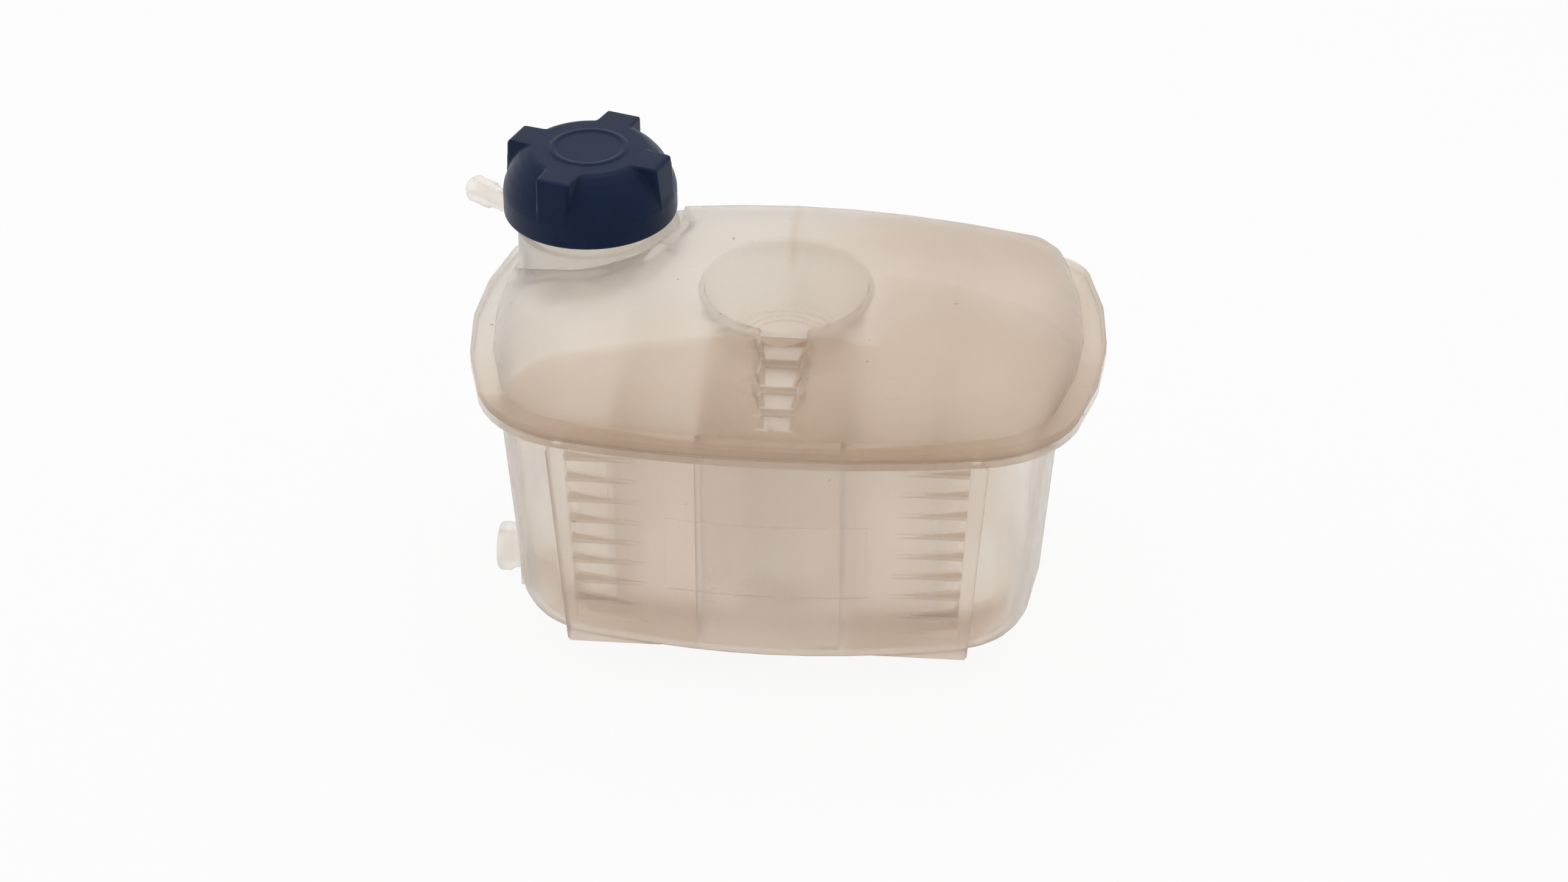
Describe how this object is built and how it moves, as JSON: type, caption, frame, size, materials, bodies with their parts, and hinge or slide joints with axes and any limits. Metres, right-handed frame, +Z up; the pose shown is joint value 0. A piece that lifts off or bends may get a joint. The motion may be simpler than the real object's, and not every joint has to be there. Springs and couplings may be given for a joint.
{
  "type": "coolant expansion tank",
  "caption": "Translucent coolant expansion tank with a welded flange, a well with a stepped channel, a ribbed mounting pad, two hose pipes and a lobed screw cap with valves.",
  "frame": {"origin": "on the axis of the round well in the top, at the plane the tank stands on", "axes": "+Z up along the well's axis, +X along the tank's length away from the filler neck, +Y from the ribbed mounting pad towards the plain back"},
  "size_m": [0.2524, 0.1625, 0.1659],
  "materials": {
    "milky_plastic": "translucent polypropylene, satin",
    "navy_plastic": "fine grained, matt",
    "valve_plastic": "matt",
    "seal_rubber": "matt",
    "spring_steel": "bright",
    "poppet_brass": "turned"
  },
  "bodies": {
    "tank": {"upper_shell": "milky_plastic", "lower_shell": "milky_plastic"},
    "cartridge": {"valve_housing": "valve_plastic", "housing_seal": "seal_rubber", "valve_retainer": "valve_plastic", "pressure_spring": "spring_steel"},
    "cap": {"cap_shell": "navy_plastic"},
    "pressure_valve": {"pressure_plate": "spring_steel", "plate_seal": "seal_rubber", "vacuum_spring": "spring_steel"},
    "vacuum_valve": {"vacuum_poppet": "poppet_brass", "poppet_seal": "seal_rubber", "poppet_clip": "spring_steel"}
  },
  "joints": [
    {"name": "cap_rise", "type": "slide", "parent": "tank", "child": "cartridge", "axis": [0, 0, 1], "range_m": [0, 0.01]},
    {"name": "cap_turn", "type": "hinge", "parent": "cartridge", "child": "cap", "pos_m": [-0.078, 0.038, 0.14], "axis": [0, 0, 1], "range_deg": [0, 720]},
    {"name": "pressure_lift", "type": "slide", "parent": "cartridge", "child": "pressure_valve", "axis": [0, 0, 1], "range_m": [0, 0.0025], "stiffness_N_per_m": 4000, "springref_m": -0.003, "deforming": ["pressure_spring"]},
    {"name": "vacuum_open", "type": "slide", "parent": "pressure_valve", "child": "vacuum_valve", "axis": [0, 0, -1], "range_m": [0, 0.0015], "stiffness_N_per_m": 400, "springref_m": -0.001, "deforming": ["vacuum_spring"]}
  ],
  "couplings": [
    {"joint": "cap_turn", "follows": "cap_rise", "rad_per_m": 1256.6}
  ]
}
